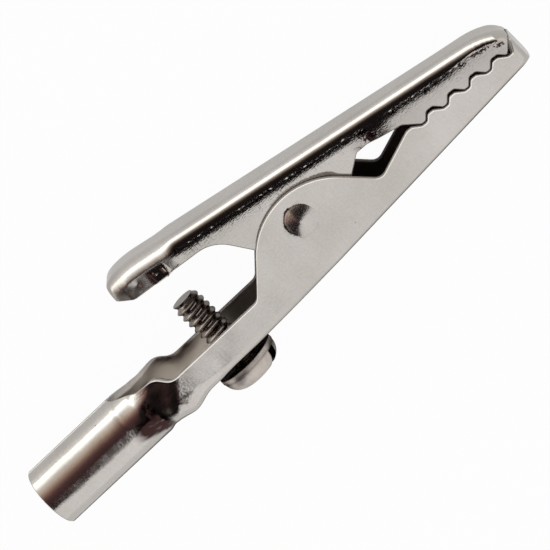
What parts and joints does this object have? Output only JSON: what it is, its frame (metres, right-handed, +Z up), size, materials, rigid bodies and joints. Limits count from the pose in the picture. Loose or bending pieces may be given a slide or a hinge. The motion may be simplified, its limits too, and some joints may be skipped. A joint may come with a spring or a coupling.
{
  "type": "alligator clip",
  "caption": "Spring-loaded toothed test clip pressed from plated sheet steel, with a rolled barrel for a 4 mm plug and a slotted terminal screw for a wire.",
  "frame": {"origin": "centre of the plug barrel's mouth", "axes": "+X from the barrel's mouth along the barrel to the jaw tips, +Y the way the upper jaw opens, +Z up, across the clip, which lies on its side"},
  "size_m": [0.0506, 0.0138, 0.0072],
  "materials": {
    "nickel_plate": "bright nickel plate on rolled sheet steel, lightly brushed and scuffed",
    "spring_steel": "drawn spring wire, satin",
    "screw_steel": "plated steel screw, satin"
  },
  "bodies": {
    "base": {"lower_jaw": "nickel_plate", "torsion_spring": "spring_steel"},
    "lever": {"upper_jaw": "nickel_plate"},
    "screw": {"terminal_screw": "screw_steel"}
  },
  "joints": [
    {"name": "jaw_pivot", "type": "hinge", "parent": "base", "child": "lever", "pos_m": [0.02985, 0.00315, 0], "axis": [0, 0, 1], "range_deg": [0, 17], "stiffness_Nm_per_rad": 0.2, "deforming": ["torsion_spring"]},
    {"name": "screw_travel", "type": "slide", "parent": "base", "child": "screw", "axis": [0, 1, 0], "range_m": [-0.0035, 0.0004]}
  ]
}
